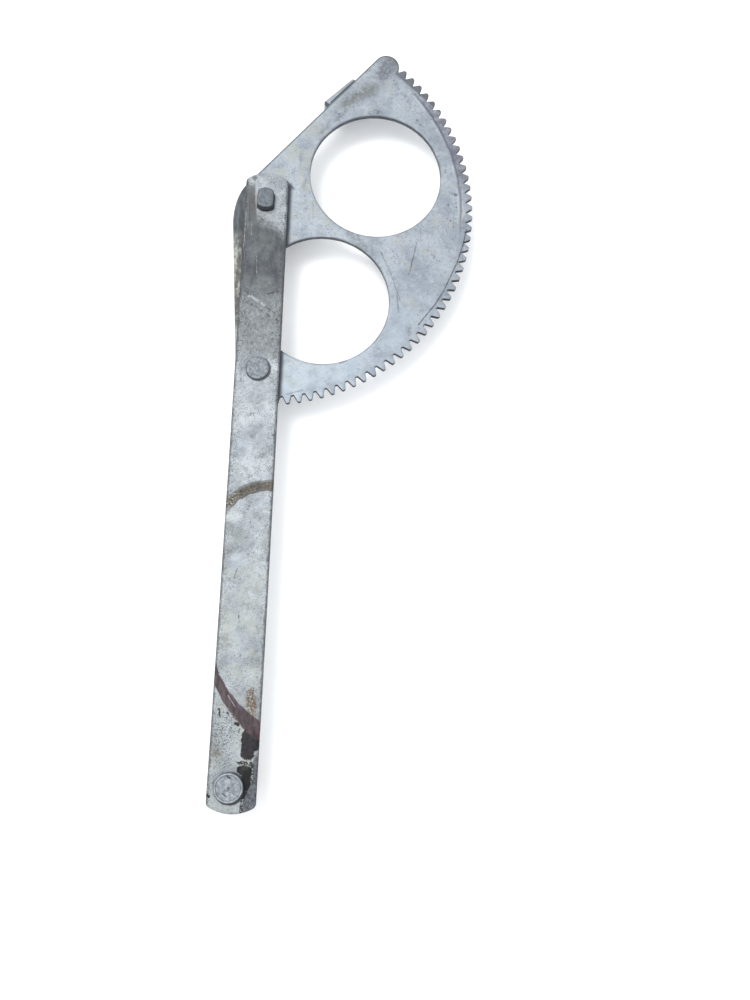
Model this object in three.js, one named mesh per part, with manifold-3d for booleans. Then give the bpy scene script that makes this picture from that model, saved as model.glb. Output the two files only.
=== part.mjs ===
// Geared lift arm of a crank-driven window operator.
//
// Millimetres, +Z up. The pivot axis is Z and the arm runs along -Y from it. Z = 0 is the
// plane of the pivot shaft's rear end. The stop tab and the end stud reach the same plane, so
// the part lies level on it with the arm on top.

import * as THREE from 'three';
import { mergeVertices } from 'three/addons/utils/BufferGeometryUtils.js';
import ManifoldModule from 'manifold-3d';

const wasm = await ManifoldModule();
wasm.setup();

// ---- driving dimensions ----

// Toothed rim: 16 diametral pitch
const MODULE = 25.4 / 16;
const TEETH_PER_TURN = 116;
const TOOTH_COUNT = 46;
const FIRST_TOOTH_ANGLE = 49.4;
const PRESSURE_ANGLE = 20;
const DEDENDUM = 1.12;

// Sector plate
const SECTOR_BACK_Z = 13.4;
const SECTOR_THICKNESS = 2.4;
const EDGE_ANGLE = 50;
const EDGE_OFFSET = 13;
const LOBE_RADIUS = 5.9;
const LOBE_ALONG = 89.1;
const HEEL_X = -14.4;
const HEEL_Y = -9;
const HEEL_TAPER = 4.6;
const HEEL_CURVE_END = 1.5;
const HOLE_RADIUS = 29.8;
const HOLE_CENTRES = [[48.8, 17.4], [27.4, -44]];

// Stop tab, bent back from the sector's straight edge and not quite parallel to it
const TAB_WIDTH = 17.6;
const TAB_ALONG = 65.2;
const TAB_SKEW = -4.5;
const TAB_INNER_BEND = 1.0;
const TAB_PROUD = 3.3;

// Lift arm: it widens a little towards the stud, and its centreline starts beside the pivot
// and bows further to +X along a parabola
const ARM_TOP_WIDTH = 19.1;
const ARM_TAIL_WIDTH = 20;
const ARM_THICKNESS = 3.0;
const ARM_LENGTH = 254;
const ARM_START_X = 0.25;
const ARM_BOW = 1;
const ARM_BOW_LENGTH = 242;
const ARM_TOP = 13.7;
const ARM_TAIL = 10.3;
const ARM_TOP_CROWN = 14;
const ARM_TAIL_CROWN = 18;
const ARM_CORNER = 2.4;
const RIVET_X = 0.9;
const RIVET_Y = -78.4;

// Pivot
const TENON_DIAMETER = 9.6;
const TENON_FLATS = 7;
const TENON_PROUD = 3.6;
const JOURNAL_RADIUS = 5;
const COLLAR_RADIUS = 7.5;
const COLLAR_THICKNESS = 2;
const BUSH_FLANGE_RADIUS = 11;
const BUSH_FLANGE_THICKNESS = 2;
const BUSH_SHANK_RADIUS = 7.5;
const PIVOT_GROOVE_RADIUS = 4;
const PIVOT_RING_RADIUS = 7.2;
const THRUST_WASHER_RADIUS = 10.5;
const REAR_WASHER_RADIUS = 9;

// Rivet and end stud
const RIVET_RADIUS = 3.2;
const RIVET_HEAD_RADIUS = 5;
const RIVET_HEAD_HEIGHT = 1;
const RIVET_TAIL_RADIUS = 5.5;
const RIVET_TAIL_HEIGHT = 1.6;
const STUD_RADIUS = 4;
const STUD_HEAD_RADIUS = 6;
const STUD_HEAD_HEIGHT = 2.6;
const STUD_SHOULDER_RADIUS = 6;
const STUD_SHOULDER_HEIGHT = 2.8;
const STUD_GROOVE_RADIUS = 3;
const STUD_RING_RADIUS = 5.8;
const ROLLER_RADIUS = 8;
const ROLLER_WASHER_RADIUS = 7;

// Fits, and the stock that the small pieces share
const FACE_GAP = 0.05;
const HOLE_GAP = 0.07;
const RUNNING_GAP = 0.06;
const WASHER_THICKNESS = 1;
const RING_THICKNESS = 1;
const RING_Z = 1.25;
const EDGE_BREAK = 0.5;

// Facets in a full turn
const FINE = 72;
const MEDIUM = 48;

// ---- worked out from them ----

const PITCH_RADIUS = MODULE * TEETH_PER_TURN / 2;
const TIP_RADIUS = PITCH_RADIUS + MODULE;
const ROOT_RADIUS = PITCH_RADIUS - DEDENDUM * MODULE;
const TOOTH_STEP = 360 / TEETH_PER_TURN;

const SECTOR_FRONT_Z = SECTOR_BACK_Z + SECTOR_THICKNESS;
const ARM_BACK_Z = SECTOR_FRONT_Z + FACE_GAP;
const ARM_FRONT_Z = ARM_BACK_Z + ARM_THICKNESS;

const REAR_WASHER_Z = RING_Z + RING_THICKNESS + 2 * FACE_GAP;
const BUSH_BACK_Z = REAR_WASHER_Z + WASHER_THICKNESS + FACE_GAP;
const COLLAR_Z = SECTOR_BACK_Z - FACE_GAP - COLLAR_THICKNESS;
const THRUST_WASHER_Z = COLLAR_Z - FACE_GAP - WASHER_THICKNESS;
const BUSH_FRONT_Z = THRUST_WASHER_Z - FACE_GAP;

// ---- helpers ----

const radians = THREE.MathUtils.degToRad;

function polar(radius, degrees) {
  return new THREE.Vector2(radius, 0).rotateAround(new THREE.Vector2(), radians(degrees));
}

// Points on an arc, both ends included
function arc(centre, radius, from, to, steps) {
  const points = [];
  for (let i = 0; i <= steps; i += 1) {
    points.push(polar(radius, from + (to - from) * i / steps).add(centre));
  }
  return points;
}

function circleHole(x, y, radius, steps) {
  return new THREE.Path(arc(new THREE.Vector2(x, y), radius, 0, 360 - 360 / steps, steps - 1));
}

function plate(shape, z, thickness) {
  const geometry = new THREE.ExtrudeGeometry(shape, { depth: thickness, bevelEnabled: false });
  return geometry.translate(0, 0, z);
}

// A turned piece about Z, from [radius, z] pairs that start and end on the axis or close
function turned(pairs, facets) {
  const profile = pairs.map(([radius, z]) => new THREE.Vector2(radius, z));
  return new THREE.LatheGeometry(profile, facets).rotateX(Math.PI / 2);
}

function tube(innerRadius, outerRadius, z, height, facets) {
  const top = z + height;
  const pairs = [[innerRadius, z], [outerRadius, z], [outerRadius, top], [innerRadius, top], [innerRadius, z]];
  return turned(pairs, facets);
}

function merged(geometry) {
  const bare = geometry.index ? geometry.toNonIndexed() : geometry.clone();
  bare.deleteAttribute('normal');
  bare.deleteAttribute('uv');
  return mergeVertices(bare, 1e-4);
}

function toSolid(geometry) {
  const source = merged(geometry);
  return new wasm.Manifold(new wasm.Mesh({
    numProp: 3,
    vertProperties: new Float32Array(source.attributes.position.array),
    triVerts: new Uint32Array(source.index.array),
  }));
}

function fromSolid(solid) {
  const mesh = solid.getMesh();
  const geometry = new THREE.BufferGeometry();
  geometry.setAttribute('position', new THREE.BufferAttribute(mesh.vertProperties, 3));
  geometry.setIndex(new THREE.BufferAttribute(mesh.triVerts, 1));
  return geometry;
}

function joined(first, second) {
  return fromSolid(toSolid(first).add(toSolid(second)));
}

// A circle cut by two flats that face +X and -X
function doubleFlat(diameter, flats, steps) {
  const radius = diameter / 2;
  const half = THREE.MathUtils.radToDeg(Math.acos(flats / diameter));
  const centre = new THREE.Vector2();
  const top = arc(centre, radius, half, 180 - half, steps);
  const bottom = arc(centre, radius, 180 + half, 360 - half, steps);
  return [...top, ...bottom];
}

// ---- sector gear ----

// One tooth, as points across the rim from its leading gap to its trailing flank
function toothPoints(angle) {
  const slope = Math.tan(radians(PRESSURE_ANGLE));
  const halfAt = (radius) => Math.PI * MODULE / 4 - (radius - PITCH_RADIUS) * slope;
  const filletTop = ROOT_RADIUS + 0.35;
  const flankTop = TIP_RADIUS - 0.4;
  const flank = [
    [halfAt(filletTop), filletTop],
    [halfAt(flankTop), flankTop],
    [halfAt(TIP_RADIUS) * 0.55, TIP_RADIUS],
  ];
  const place = ([across, radius], side) => polar(radius, angle + side * THREE.MathUtils.radToDeg(across / radius));
  const gap = polar(ROOT_RADIUS, angle + TOOTH_STEP / 2);
  const leading = flank.map((point) => place(point, 1));
  const trailing = flank.map((point) => place(point, -1)).reverse();
  return [gap, ...leading, ...trailing];
}

// A point by its distance along the straight edge and its offset out from the pivot
function onEdge(distance, offset) {
  return polar(distance, EDGE_ANGLE).add(polar(offset, EDGE_ANGLE + 90));
}

function sectorOutline() {
  const lobeCentre = onEdge(LOBE_ALONG, EDGE_OFFSET - LOBE_RADIUS);
  const lobe = arc(lobeCentre, LOBE_RADIUS, EDGE_ANGLE + 90, EDGE_ANGLE - 75, 16);

  const teeth = [];
  for (let i = 0; i < TOOTH_COUNT; i += 1) {
    teeth.push(...toothPoints(FIRST_TOOTH_ANGLE - i * TOOTH_STEP));
  }

  // The heel edge leans in towards the rim and meets it behind the arm
  const lean = Math.tan(radians(HEEL_TAPER));
  const endY = -ROOT_RADIUS;
  const rimEnd = new THREE.Vector2(HEEL_X + (HEEL_Y - endY) * lean, endY);
  const rimEndAngle = THREE.MathUtils.radToDeg(rimEnd.angle()) - 360;
  const lastAngle = FIRST_TOOTH_ANGLE - (TOOTH_COUNT - 0.5) * TOOTH_STEP;
  const land = arc(new THREE.Vector2(), ROOT_RADIUS, lastAngle, rimEndAngle, 3);

  // A curve turns the heel edge into the straight edge, about the corner where they would meet
  const heelStart = new THREE.Vector2(HEEL_X, HEEL_Y);
  const heelEnd = onEdge(HEEL_CURVE_END, EDGE_OFFSET);
  const cornerX = EDGE_OFFSET * Math.sin(radians(EDGE_ANGLE)) + HEEL_X;
  const corner = onEdge(cornerX / Math.cos(radians(EDGE_ANGLE)), EDGE_OFFSET);
  const heel = new THREE.QuadraticBezierCurve(heelStart, corner, heelEnd).getPoints(8);

  return [...lobe, ...teeth, ...land, ...heel];
}

function stopTab() {
  const outerBend = TAB_INNER_BEND + SECTOR_THICKNESS;
  const bendOffset = EDGE_OFFSET + TAB_PROUD - outerBend;
  const bendZ = SECTOR_BACK_Z - TAB_INNER_BEND;
  const bendCentre = new THREE.Vector2(bendOffset, bendZ);
  const root = bendOffset - 3;
  const section = new THREE.Shape([
    new THREE.Vector2(root, SECTOR_BACK_Z),
    ...arc(bendCentre, TAB_INNER_BEND, 90, 0, 4),
    new THREE.Vector2(bendOffset + TAB_INNER_BEND, 0),
    new THREE.Vector2(bendOffset + outerBend, 0),
    ...arc(bendCentre, outerBend, 0, 90, 8),
    new THREE.Vector2(root, SECTOR_FRONT_Z),
  ]);
  const along = polar(1, EDGE_ANGLE + TAB_SKEW);
  const out = polar(1, EDGE_ANGLE + TAB_SKEW + 90);
  const placed = new THREE.Matrix4().makeBasis(
    new THREE.Vector3(out.x, out.y, 0),
    new THREE.Vector3(0, 0, 1),
    new THREE.Vector3(along.x, along.y, 0),
  );
  const middle = onEdge(TAB_ALONG, EDGE_OFFSET);
  const start = middle.addScaledVector(out, -EDGE_OFFSET).addScaledVector(along, -TAB_WIDTH / 2);
  placed.setPosition(start.x, start.y, 0);
  return plate(section, 0, TAB_WIDTH).applyMatrix4(placed);
}

function sectorGear() {
  const shape = new THREE.Shape(sectorOutline());
  for (const [x, y] of HOLE_CENTRES) {
    shape.holes.push(circleHole(x, y, HOLE_RADIUS, FINE));
  }
  shape.holes.push(tenonHole());
  shape.holes.push(circleHole(RIVET_X, RIVET_Y, RIVET_RADIUS + HOLE_GAP, MEDIUM));
  return joined(plate(shape, SECTOR_BACK_Z, SECTOR_THICKNESS), stopTab());
}

// ---- lift arm ----

// A crowned end of the arm, from its right edge over to its left one, facing +Y
function armEnd(half, reach, crown) {
  const crownCentreY = reach - crown;
  const inner = crown - ARM_CORNER;
  const cornerX = half - ARM_CORNER;
  const lift = Math.sqrt(inner * inner - cornerX * cornerX);
  const turn = THREE.MathUtils.radToDeg(Math.atan2(lift, cornerX));
  const right = new THREE.Vector2(cornerX, crownCentreY + lift);
  const left = new THREE.Vector2(-cornerX, crownCentreY + lift);
  return [
    ...arc(right, ARM_CORNER, 0, turn, 4),
    ...arc(new THREE.Vector2(0, crownCentreY), crown, turn, 180 - turn, 10).slice(1, -1),
    ...arc(left, ARM_CORNER, 180 - turn, 180, 4),
  ];
}

// Points that divide the long edge between two ends, so that it can bow
function armSide(from, to) {
  const steps = 10;
  const points = [];
  for (let i = 1; i < steps; i += 1) {
    points.push(from.clone().lerp(to, i / steps));
  }
  return points;
}

function bowed(point) {
  const left = 1 + point.y / ARM_BOW_LENGTH;
  return new THREE.Vector2(point.x + ARM_START_X + ARM_BOW * (1 - left * left), point.y);
}

function liftArm() {
  const top = armEnd(ARM_TOP_WIDTH / 2, ARM_TOP, ARM_TOP_CROWN);
  const tail = armEnd(ARM_TAIL_WIDTH / 2, ARM_LENGTH + ARM_TAIL, ARM_TAIL_CROWN).map((point) => point.negate());
  const leftSide = armSide(top.at(-1), tail[0]);
  const rightSide = armSide(tail.at(-1), top[0]);
  const shape = new THREE.Shape([...top, ...leftSide, ...tail, ...rightSide].map(bowed));
  shape.holes.push(tenonHole());
  shape.holes.push(circleHole(RIVET_X, RIVET_Y, RIVET_RADIUS + HOLE_GAP, MEDIUM));
  shape.holes.push(circleHole(0, -ARM_LENGTH, STUD_RADIUS + HOLE_GAP, MEDIUM));
  return plate(shape, ARM_BACK_Z, ARM_THICKNESS);
}

// ---- pivot ----

function tenonHole() {
  const grow = 2 * HOLE_GAP;
  return new THREE.Path(doubleFlat(TENON_DIAMETER + grow, TENON_FLATS + grow, 12));
}

// A shaft below a collar, with a groove for a retaining ring and a chamfered end at z = 0
function groovedShaft(radius, grooveRadius, collarRadius, collarZ, topZ) {
  const grooveTop = RING_Z + RING_THICKNESS + FACE_GAP;
  const grooveBottom = RING_Z - FACE_GAP;
  return [
    [0, 0], [radius - EDGE_BREAK, 0], [radius, EDGE_BREAK],
    [radius, grooveBottom], [grooveRadius, grooveBottom], [grooveRadius, grooveTop], [radius, grooveTop],
    [radius, collarZ], [collarRadius, collarZ], [collarRadius, topZ],
  ];
}

function pivotShaft() {
  const collarTop = SECTOR_BACK_Z - FACE_GAP;
  const lower = groovedShaft(JOURNAL_RADIUS, PIVOT_GROOVE_RADIUS, COLLAR_RADIUS, COLLAR_Z, collarTop);
  const body = turned([...lower, [0, collarTop]], MEDIUM);
  const tenon = new THREE.Shape(doubleFlat(TENON_DIAMETER, TENON_FLATS, 12));
  const tenonStart = collarTop - COLLAR_THICKNESS / 2;
  return joined(body, plate(tenon, tenonStart, ARM_FRONT_Z + TENON_PROUD - tenonStart));
}

function pivotBush() {
  const bore = JOURNAL_RADIUS + RUNNING_GAP;
  const flangeZ = BUSH_FRONT_Z - BUSH_FLANGE_THICKNESS;
  return turned([
    [bore, BUSH_BACK_Z], [BUSH_SHANK_RADIUS - EDGE_BREAK, BUSH_BACK_Z],
    [BUSH_SHANK_RADIUS, BUSH_BACK_Z + EDGE_BREAK], [BUSH_SHANK_RADIUS, flangeZ],
    [BUSH_FLANGE_RADIUS, flangeZ], [BUSH_FLANGE_RADIUS, BUSH_FRONT_Z],
    [bore, BUSH_FRONT_Z], [bore, BUSH_BACK_Z],
  ], MEDIUM);
}

// An open ring whose three lugs sit in a shaft's groove
function retainingRing(grooveRadius, outerRadius) {
  const opening = 35;
  const from = -90 + opening;
  const to = 270 - opening;
  const steps = 36;
  const lugHalf = 14;
  const lugs = [from, 90, to];
  const bandRadius = (grooveRadius + outerRadius) / 2 + 0.5;
  const inner = [];
  for (let i = steps; i >= 0; i -= 1) {
    const angle = from + (to - from) * i / steps;
    const onLug = lugs.some((lug) => Math.abs(angle - lug) <= lugHalf);
    inner.push(polar(onLug ? grooveRadius + HOLE_GAP : bandRadius, angle));
  }
  const outer = arc(new THREE.Vector2(), outerRadius, from, to, steps);
  return plate(new THREE.Shape([...outer, ...inner]), RING_Z, RING_THICKNESS);
}

// ---- rivet, stud and roller ----

function segmentRivet() {
  const tailTop = SECTOR_BACK_Z - FACE_GAP;
  const tailBottom = tailTop - RIVET_TAIL_HEIGHT;
  const headBottom = ARM_FRONT_Z + FACE_GAP;
  const headTop = headBottom + RIVET_HEAD_HEIGHT;
  return turned([
    [0, tailBottom], [RIVET_TAIL_RADIUS - EDGE_BREAK, tailBottom],
    [RIVET_TAIL_RADIUS, tailBottom + EDGE_BREAK], [RIVET_TAIL_RADIUS, tailTop],
    [RIVET_RADIUS, tailTop], [RIVET_RADIUS, headBottom],
    [RIVET_HEAD_RADIUS, headBottom], [RIVET_HEAD_RADIUS, headTop - EDGE_BREAK / 2],
    [RIVET_HEAD_RADIUS - EDGE_BREAK, headTop], [0, headTop],
  ], MEDIUM);
}

function endStud() {
  const shoulderTop = ARM_BACK_Z - FACE_GAP;
  const shoulderZ = shoulderTop - STUD_SHOULDER_HEIGHT;
  const lower = groovedShaft(STUD_RADIUS, STUD_GROOVE_RADIUS, STUD_SHOULDER_RADIUS, shoulderZ, shoulderTop);
  const headBottom = ARM_FRONT_Z + FACE_GAP;
  const headTop = headBottom + STUD_HEAD_HEIGHT;
  return turned([
    ...lower,
    [STUD_RADIUS, shoulderTop], [STUD_RADIUS, headBottom],
    [STUD_HEAD_RADIUS, headBottom], [STUD_HEAD_RADIUS, headTop - EDGE_BREAK],
    [STUD_HEAD_RADIUS - EDGE_BREAK, headTop], [0, headTop],
  ], MEDIUM);
}

function studRoller() {
  const bore = STUD_RADIUS + RUNNING_GAP;
  const bottom = BUSH_BACK_Z;
  const top = ARM_BACK_Z - FACE_GAP - STUD_SHOULDER_HEIGHT - 2 * FACE_GAP;
  return turned([
    [bore, bottom], [ROLLER_RADIUS - EDGE_BREAK, bottom], [ROLLER_RADIUS, bottom + EDGE_BREAK],
    [ROLLER_RADIUS, top - EDGE_BREAK], [ROLLER_RADIUS - EDGE_BREAK, top],
    [bore, top], [bore, bottom],
  ], MEDIUM);
}

// ---- assembly ----

const STEEL = { roughness: 0.5, metalness: 0.85 };
const NYLON = { roughness: 0.55, metalness: 0 };

const operator = new THREE.Group();

function addPiece(name, geometry, color, finish, x = 0, y = 0) {
  const mesh = new THREE.Mesh(geometry, new THREE.MeshStandardMaterial({ color, ...finish }));
  mesh.name = name;
  mesh.position.set(x, y, 0);
  operator.add(mesh);
}

function washer(holeRadius, outerRadius, z) {
  return tube(holeRadius + HOLE_GAP, outerRadius, z, WASHER_THICKNESS, MEDIUM);
}

addPiece('sector_gear', sectorGear(), 0xb9bec4, STEEL);
addPiece('lift_arm', liftArm(), 0xa9b0b5, STEEL);
addPiece('segment_rivet', segmentRivet(), 0x92969b, STEEL, RIVET_X, RIVET_Y);

addPiece('pivot_shaft', pivotShaft(), 0x6d777d, STEEL);
addPiece('thrust_washer', washer(JOURNAL_RADIUS, THRUST_WASHER_RADIUS, THRUST_WASHER_Z), 0xa8adb2, STEEL);
addPiece('pivot_bush', pivotBush(), 0x8f8a72, STEEL);
addPiece('rear_washer', washer(JOURNAL_RADIUS, REAR_WASHER_RADIUS, REAR_WASHER_Z), 0xa8adb2, STEEL);
addPiece('pivot_retaining_ring', retainingRing(PIVOT_GROOVE_RADIUS, PIVOT_RING_RADIUS), 0x55585c, STEEL);

addPiece('end_stud', endStud(), 0xb4b8be, STEEL, 0, -ARM_LENGTH);
addPiece('stud_roller', studRoller(), 0xd8d4c6, NYLON, 0, -ARM_LENGTH);
addPiece('roller_washer', washer(STUD_RADIUS, ROLLER_WASHER_RADIUS, REAR_WASHER_Z), 0xa8adb2, STEEL, 0, -ARM_LENGTH);
addPiece('roller_retaining_ring', retainingRing(STUD_GROOVE_RADIUS, STUD_RING_RADIUS), 0x55585c, STEEL, 0, -ARM_LENGTH);

export default operator;
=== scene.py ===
import math
from functools import reduce

import bmesh
import bpy
import numpy as np
from mathutils import Matrix, Vector, kdtree, noise
from mathutils.geometry import delaunay_2d_cdt


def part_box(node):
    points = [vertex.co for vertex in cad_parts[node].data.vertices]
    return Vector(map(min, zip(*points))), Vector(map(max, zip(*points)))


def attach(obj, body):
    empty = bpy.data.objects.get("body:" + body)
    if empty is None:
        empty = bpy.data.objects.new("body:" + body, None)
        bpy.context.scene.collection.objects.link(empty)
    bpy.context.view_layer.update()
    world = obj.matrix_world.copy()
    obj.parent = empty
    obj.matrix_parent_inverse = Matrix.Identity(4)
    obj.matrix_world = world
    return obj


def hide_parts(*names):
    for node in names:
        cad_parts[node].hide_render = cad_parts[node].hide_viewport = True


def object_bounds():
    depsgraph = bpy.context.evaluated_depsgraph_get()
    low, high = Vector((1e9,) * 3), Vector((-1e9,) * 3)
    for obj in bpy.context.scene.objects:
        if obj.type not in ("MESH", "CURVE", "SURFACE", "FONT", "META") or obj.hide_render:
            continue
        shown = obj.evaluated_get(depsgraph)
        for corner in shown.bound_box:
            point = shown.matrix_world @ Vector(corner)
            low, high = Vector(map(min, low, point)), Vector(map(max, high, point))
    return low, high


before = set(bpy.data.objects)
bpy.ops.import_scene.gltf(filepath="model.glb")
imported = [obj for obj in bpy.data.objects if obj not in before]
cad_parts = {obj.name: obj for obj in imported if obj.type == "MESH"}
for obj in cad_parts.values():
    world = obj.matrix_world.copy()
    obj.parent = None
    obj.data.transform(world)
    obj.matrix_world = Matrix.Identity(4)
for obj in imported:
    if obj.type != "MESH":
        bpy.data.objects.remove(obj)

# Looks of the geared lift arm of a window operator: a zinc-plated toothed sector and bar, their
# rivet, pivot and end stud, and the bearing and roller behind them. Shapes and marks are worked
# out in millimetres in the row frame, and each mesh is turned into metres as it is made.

CAD_LOW, CAD_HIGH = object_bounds()
MM = 0.001

# ---------------------------------------------------------------- driving dimensions

MODULE = 25.4 / 16
TEETH_PER_TURN = 116
TOOTH_COUNT = 46
FIRST_TOOTH_ANGLE = 49.4
PRESSURE_ANGLE = 20
DEDENDUM = 1.12
PITCH_RADIUS = MODULE * TEETH_PER_TURN / 2
TIP_RADIUS = PITCH_RADIUS + MODULE
ROOT_RADIUS = PITCH_RADIUS - DEDENDUM * MODULE
TOOTH_STEP = 360 / TEETH_PER_TURN
TOOTH_TIP_ROUND = 0.7
TOOTH_ROOT_ROUND = 0.45
WORN_BAND_RADIUS = 88.2
PACKED_DEPTH = 0.5

EDGE_ANGLE = 50
EDGE_OFFSET = 13
LOBE_RADIUS = 5.87
LOBE_ALONG = 89.1
HEEL = Vector((-14.4, -9))
HEEL_TAPER = 4.6
HEEL_CURVE_END = 1.5
HOLE_RADIUS = 29.8
HOLE_CENTRES = (Vector((48.8, 17.4)), Vector((27.4, -44)))

TAB_WIDTH = 17.6
TAB_ALONG = 65.2
TAB_SKEW = -4.5
TAB_INNER_BEND = 1.0
TAB_PROUD = 3.25
TAB_STEP_DOWN = 0.3

ARM_TOP_WIDTH = 19.1
ARM_TAIL_WIDTH = 20
ARM_LENGTH = 254
ARM_START_X = 0.25
ARM_BOW = 1
ARM_BOW_LENGTH = 242
ARM_TOP = 13.7
ARM_TAIL = 10.3
ARM_TOP_CROWN = 14
ARM_TAIL_CROWN = 18
ARM_CORNER = 2.4

TENON_DIAMETER = 9.6
TENON_FLATS = 7
RIVET_RADIUS = 3.2
STUD_RADIUS = 4
JOURNAL_RADIUS = 5
HOLE_GAP = 0.07
RUNNING_GAP = 0.06
SEAT_GAP = 0.05

# ---------------------------------------------------------------- places that the frame gives


def node_box(node):
    low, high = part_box(node)
    return Vector(low) / MM, Vector(high) / MM


def node_axis(node):
    low, high = node_box(node)
    return Vector(((low.x + high.x) / 2, (low.y + high.y) / 2))


def node_radius(node):
    low, high = node_box(node)
    return (high.x - low.x) / 2


SECTOR_FRONT = node_box("sector_gear")[1].z
ARM_BACK = node_box("lift_arm")[0].z
ARM_FRONT = node_box("lift_arm")[1].z
SECTOR_THICKNESS = 2.4
SECTOR_BACK = SECTOR_FRONT - SECTOR_THICKNESS
PIVOT_AT = Vector((0, 0))
RIVET_AT = node_axis("segment_rivet")
STUD_AT = node_axis("end_stud")

# ---------------------------------------------------------------- outlines


def polar(radius, degrees, centre=Vector((0, 0))):
    angle = math.radians(degrees)
    return centre + Vector((radius * math.cos(angle), radius * math.sin(angle)))


def arc(centre, radius, start, end, steps):
    return [polar(radius, start + (end - start) * i / steps, centre) for i in range(steps + 1)]


def hole(centre, radius, steps):
    """A clockwise circle."""
    return arc(centre, radius, 360, 0, steps)[:-1]


def rounded(corners, closed=True, turn_step=15):
    """A path through (point, radius) corners, each rounded by an arc of its radius."""
    path = []
    last = len(corners) - 1
    for i, (point, radius) in enumerate(corners):
        before = corners[i - 1][0] - point
        after = corners[(i + 1) % len(corners)][0] - point
        at_end = not closed and i in (0, last)
        turn = 0 if at_end or radius <= 0 else math.pi - before.angle(after)
        if turn < math.radians(3):
            path.append(point.copy())
            continue
        reach = min(radius * math.tan(turn / 2), 0.48 * before.length, 0.48 * after.length)
        radius = reach / math.tan(turn / 2)
        inward = (before.normalized() + after.normalized()).normalized()
        centre = point + inward * (radius / math.cos(turn / 2))
        first = point + before.normalized() * reach - centre
        final = point + after.normalized() * reach - centre
        steps = max(2, int(math.degrees(turn) / turn_step) + 1)
        sweep = -first.angle_signed(final)
        path += [centre + Matrix.Rotation(sweep * k / steps, 2) @ first for k in range(steps + 1)]
    return path


def resampled(loop, step):
    """The closed loop, with its long stretches cut into pieces no longer than step."""
    points = []
    for i, point in enumerate(loop):
        following = loop[(i + 1) % len(loop)]
        span = (following - point).length
        if span > 1e-6:
            cuts = math.ceil(span / step)
            points += [point.lerp(following, k / cuts) for k in range(cuts)]
    return points


def double_flat(grow):
    """The tenon's section, clockwise: a circle cut by two flats that face +X and -X."""
    half = math.degrees(math.acos((TENON_FLATS + grow) / (TENON_DIAMETER + grow)))
    radius = (TENON_DIAMETER + grow) / 2
    return arc(PIVOT_AT, radius, 360 - half, 180 + half, 12) + arc(PIVOT_AT, radius, 180 - half, half, 12)


def on_edge(along, offset):
    """A point by its distance along the sector's straight edge and its offset out from the pivot."""
    return polar(along, EDGE_ANGLE) + polar(offset, EDGE_ANGLE + 90)


def tooth(angle):
    """One tooth's corners, clockwise round the rim, each with its rounding.

    Worn metal and dirt fill the upper valleys, so that they are shallower and end in a V.
    """
    slope = math.tan(math.radians(PRESSURE_ANGLE))
    packed = smooth(-38, -6, angle)
    root = ROOT_RADIUS + PACKED_DEPTH * packed

    def flank(radius, side):
        half = math.pi * MODULE / 4 - (radius - PITCH_RADIUS) * slope
        return polar(radius, angle + side * math.degrees(half / radius))

    def foot(side):
        return flank(root, side).lerp(polar(root, angle + side * 0.46 * TOOTH_STEP), packed)

    return [
        (polar(root, angle + TOOTH_STEP / 2), 0),
        (foot(1), TOOTH_ROOT_ROUND),
        (flank(TIP_RADIUS, 1), TOOTH_TIP_ROUND),
        (flank(TIP_RADIUS, -1), TOOTH_TIP_ROUND),
        (foot(-1), TOOTH_ROOT_ROUND),
    ]


def sector_outline():
    """Anticlockwise outline of the sector, without its tab."""
    lobe_centre = on_edge(LOBE_ALONG, EDGE_OFFSET - LOBE_RADIUS)
    lobe = arc(lobe_centre, LOBE_RADIUS, EDGE_ANGLE + 90, EDGE_ANGLE - 75, 24)
    corners = [(point, 0) for point in lobe]
    for i in range(TOOTH_COUNT):
        corners += tooth(FIRST_TOOTH_ANGLE - i * TOOTH_STEP)

    # The heel edge leans in towards the rim and meets it behind the arm
    lean = math.tan(math.radians(HEEL_TAPER))
    rim_end = Vector((HEEL.x + (HEEL.y + ROOT_RADIUS) * lean, -ROOT_RADIUS))
    rim_end_angle = math.degrees(math.atan2(rim_end.y, rim_end.x))
    last_angle = FIRST_TOOTH_ANGLE - (TOOTH_COUNT - 0.5) * TOOTH_STEP
    corners += [(point, 0) for point in arc(PIVOT_AT, ROOT_RADIUS, last_angle, rim_end_angle, 6)]

    # A curve turns the heel edge into the straight edge, about the corner where they would meet
    heel_end = on_edge(HEEL_CURVE_END, EDGE_OFFSET)
    corner_x = EDGE_OFFSET * math.sin(math.radians(EDGE_ANGLE)) + HEEL.x
    corner = on_edge(corner_x / math.cos(math.radians(EDGE_ANGLE)), EDGE_OFFSET)
    for i in range(21):
        t = i / 20
        point = HEEL.lerp(corner, t).lerp(corner.lerp(heel_end, t), t)
        corners.append((point, 0))
    return rounded(corners)[::-1]


def arm_centre(y):
    return ARM_START_X + ARM_BOW * (1 - (1 + y / ARM_BOW_LENGTH) ** 2)


def arm_end(half, reach, crown):
    """A crowned end of the arm, from its right edge over to its left one, facing +Y."""
    corner_x = half - ARM_CORNER
    lift = math.sqrt((crown - ARM_CORNER) ** 2 - corner_x**2)
    turn = math.degrees(math.atan2(lift, corner_x))
    crown_centre = Vector((0, reach - crown))
    right = crown_centre + Vector((corner_x, lift))
    left = crown_centre + Vector((-corner_x, lift))
    over = arc(crown_centre, crown, turn, 180 - turn, 24)[1:-1]
    return arc(right, ARM_CORNER, 0, turn, 8) + over + arc(left, ARM_CORNER, 180 - turn, 180, 8)


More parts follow.
